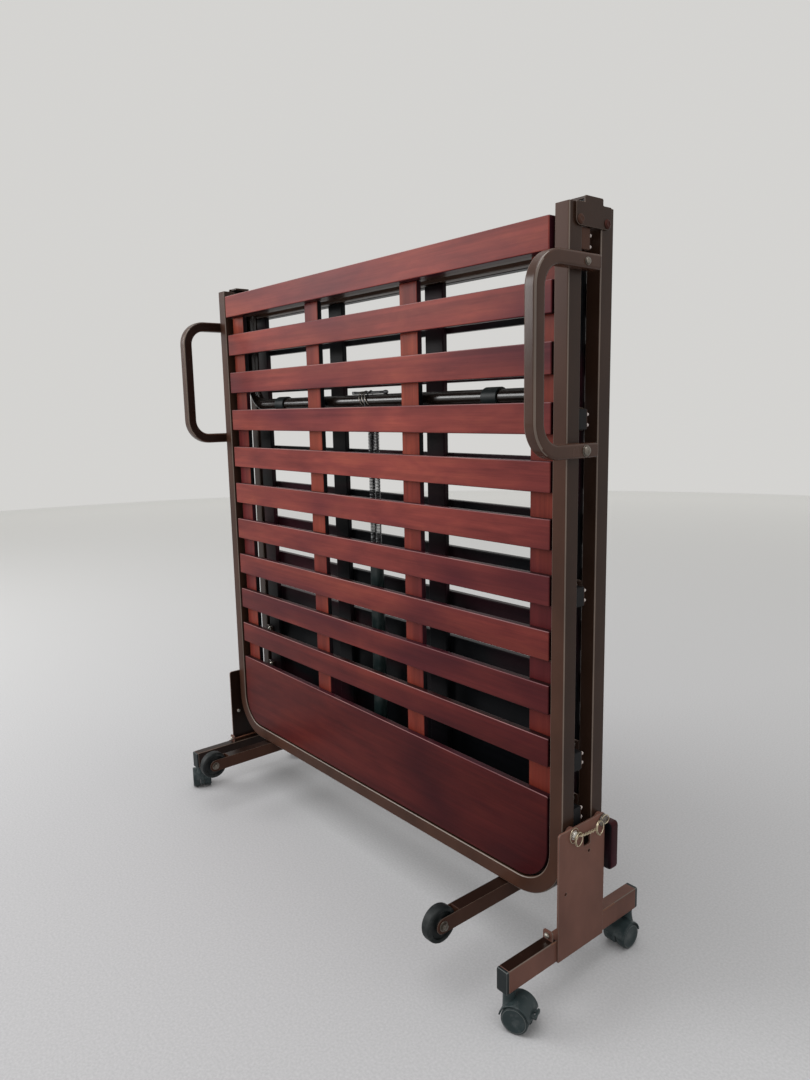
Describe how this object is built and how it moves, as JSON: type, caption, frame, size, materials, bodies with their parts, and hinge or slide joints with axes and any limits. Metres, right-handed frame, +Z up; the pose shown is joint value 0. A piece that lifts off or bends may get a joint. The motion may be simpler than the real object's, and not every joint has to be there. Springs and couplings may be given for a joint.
{
  "type": "folding bed",
  "caption": "Single slatted folding bed on two rolling stands, folded upright, with grab handles, sprung middle leg and wheeled rear legs.",
  "frame": {"origin": "on the floor under the centre of the folded bed", "axes": "+Z up, X across the width of the bed, -Y towards the handles and the first panel"},
  "size_m": [1.052, 0.3446, 1.128],
  "materials": {
    "front_wood": "red-brown stain under satin varnish",
    "rear_wood": "dark red-brown stain under satin varnish",
    "frame_steel": "dark brown powder coat",
    "black_plastic": "moulded, slightly worn",
    "caster_plastic": "moulded, worn on the treads",
    "wheel_rubber": "moulded, matte",
    "spring_wire": "oiled spring wire",
    "zinc_trim": "bright zinc"
  },
  "bodies": {
    "stand_right": {"stand_right": "frame_steel", "foot_cap_front_right": "black_plastic", "foot_cap_rear_right": "black_plastic"},
    "front_panel": {"front_frame": "frame_steel", "front_slat_01": "front_wood", "front_slat_02": "front_wood", "front_slat_03": "front_wood", "front_slat_04": "front_wood", "front_slat_05": "front_wood", "front_slat_06": "front_wood", "front_slat_07": "front_wood", "front_slat_08": "front_wood", "front_slat_09": "front_wood", "front_slat_10": "front_wood", "front_end_board": "front_wood", "front_lath_1": "front_wood", "front_lath_2": "front_wood", "front_lath_3": "front_wood", "front_lath_4": "front_wood", "handle_right": "frame_steel", "handle_left": "frame_steel"},
    "link": {"center_leg": "frame_steel", "leg_sleeve_right": "black_plastic", "leg_sleeve_left": "black_plastic"},
    "rear_panel": {"rear_frame": "frame_steel", "rear_slat_01": "rear_wood", "rear_slat_02": "rear_wood", "rear_slat_03": "rear_wood", "rear_slat_04": "rear_wood", "rear_slat_05": "rear_wood", "rear_slat_06": "rear_wood", "rear_slat_07": "rear_wood", "rear_slat_08": "rear_wood", "rear_slat_09": "rear_wood", "rear_slat_10": "rear_wood", "rear_end_board": "rear_wood", "rear_lath_1": "rear_wood", "rear_lath_2": "rear_wood", "rear_lath_3": "rear_wood", "rear_lath_4": "rear_wood", "stop_rail": "front_wood"},
    "spring_pack": {"spring_sleeve": "black_plastic", "spring_right": "spring_wire", "spring_left": "spring_wire"},
    "spring_hanger": {"spring_yoke": "frame_steel"},
    "stand_left": {"stand_left": "frame_steel", "foot_cap_front_left": "black_plastic", "foot_cap_rear_left": "black_plastic"},
    "lock_pin": {"lock_pin": "zinc_trim"},
    "caster_front_right": {"caster_hood_front_right": "caster_plastic"},
    "caster_pair_front_right": {"caster_wheels_front_right": "caster_plastic"},
    "caster_rear_right": {"caster_hood_rear_right": "caster_plastic"},
    "caster_pair_rear_right": {"caster_wheels_rear_right": "caster_plastic"},
    "leg_wheel_right": {"leg_wheel_right": "wheel_rubber"},
    "caster_front_left": {"caster_hood_front_left": "caster_plastic"},
    "caster_pair_front_left": {"caster_wheels_front_left": "caster_plastic"},
    "caster_rear_left": {"caster_hood_rear_left": "caster_plastic"},
    "caster_pair_rear_left": {"caster_wheels_rear_left": "caster_plastic"},
    "leg_wheel_left": {"leg_wheel_left": "wheel_rubber"}
  },
  "joints": [
    {"name": "unfold", "type": "hinge", "parent": "stand_right", "child": "front_panel", "pos_m": [0, 0.00475, 0.244], "axis": [-1, 0, 0], "range_deg": [0, 90]},
    {"name": "link_turn", "type": "hinge", "parent": "front_panel", "child": "link", "pos_m": [0, 0.01025, 1.097], "axis": [1, 0, 0], "range_deg": [0, 90]},
    {"name": "rear_turn", "type": "hinge", "parent": "link", "child": "rear_panel", "pos_m": [0, 0.06625, 1.097], "axis": [1, 0, 0], "range_deg": [0, 90]},
    {"name": "stand_left_turn", "type": "hinge", "parent": "front_panel", "child": "stand_left", "pos_m": [0, 0.00475, 0.244], "axis": [1, 0, 0], "range_deg": [0, 90]},
    {"name": "spring_swing", "type": "hinge", "parent": "rear_panel", "child": "spring_pack", "pos_m": [0, 0.03825, 0.17], "axis": [1, 0, 0], "range_deg": [0, 11.6]},
    {"name": "spring_stretch", "type": "slide", "parent": "spring_pack", "child": "spring_hanger", "axis": [0, 0, 1], "range_m": [0, 0.271], "deforming": ["spring_right", "spring_left"]},
    {"name": "lock_pull", "type": "slide", "parent": "stand_right", "child": "lock_pin", "axis": [1, 0, 0], "range_m": [0, 0.025]},
    {"name": "caster_swivel_front_right", "type": "hinge", "parent": "stand_right", "child": "caster_front_right", "pos_m": [0.483, -0.11875, 0.054], "axis": [0, 0, 1], "continuous": true},
    {"name": "caster_roll_front_right", "type": "hinge", "parent": "caster_front_right", "child": "caster_pair_front_right", "pos_m": [0.49589, -0.11328, 0.02], "axis": [-0.3907, 0.9205, 0], "continuous": true},
    {"name": "caster_swivel_rear_right", "type": "hinge", "parent": "stand_right", "child": "caster_rear_right", "pos_m": [0.483, 0.15725, 0.054], "axis": [0, 0, 1], "continuous": true},
    {"name": "caster_roll_rear_right", "type": "hinge", "parent": "caster_rear_right", "child": "caster_pair_rear_right", "pos_m": [0.483, 0.14325, 0.02], "axis": [1, 0, 0], "continuous": true},
    {"name": "leg_wheel_roll_right", "type": "hinge", "parent": "rear_panel", "child": "leg_wheel_right", "pos_m": [0.365, -0.14425, 0.1045], "axis": [1, 0, 0], "continuous": true},
    {"name": "caster_swivel_front_left", "type": "hinge", "parent": "stand_left", "child": "caster_front_left", "pos_m": [-0.483, -0.11875, 0.054], "axis": [0, 0, 1], "continuous": true},
    {"name": "caster_roll_front_left", "type": "hinge", "parent": "caster_front_left", "child": "caster_pair_front_left", "pos_m": [-0.49589, -0.11328, 0.02], "axis": [-0.3907, -0.9205, 0], "continuous": true},
    {"name": "caster_swivel_rear_left", "type": "hinge", "parent": "stand_left", "child": "caster_rear_left", "pos_m": [-0.483, 0.15725, 0.054], "axis": [0, 0, 1], "continuous": true},
    {"name": "caster_roll_rear_left", "type": "hinge", "parent": "caster_rear_left", "child": "caster_pair_rear_left", "pos_m": [-0.483, 0.14325, 0.02], "axis": [1, 0, 0], "continuous": true},
    {"name": "leg_wheel_roll_left", "type": "hinge", "parent": "rear_panel", "child": "leg_wheel_left", "pos_m": [-0.365, -0.14425, 0.1045], "axis": [1, 0, 0], "continuous": true}
  ],
  "couplings": [
    {"joint": "link_turn", "follows": "unfold", "ratio": 1},
    {"joint": "rear_turn", "follows": "unfold", "ratio": 1},
    {"joint": "stand_left_turn", "follows": "unfold", "ratio": 1},
    {"joint": "spring_swing", "follows": "unfold", "ratio": 0.12823},
    {"joint": "spring_stretch", "follows": "unfold", "m_per_rad": 0.17234}
  ]
}
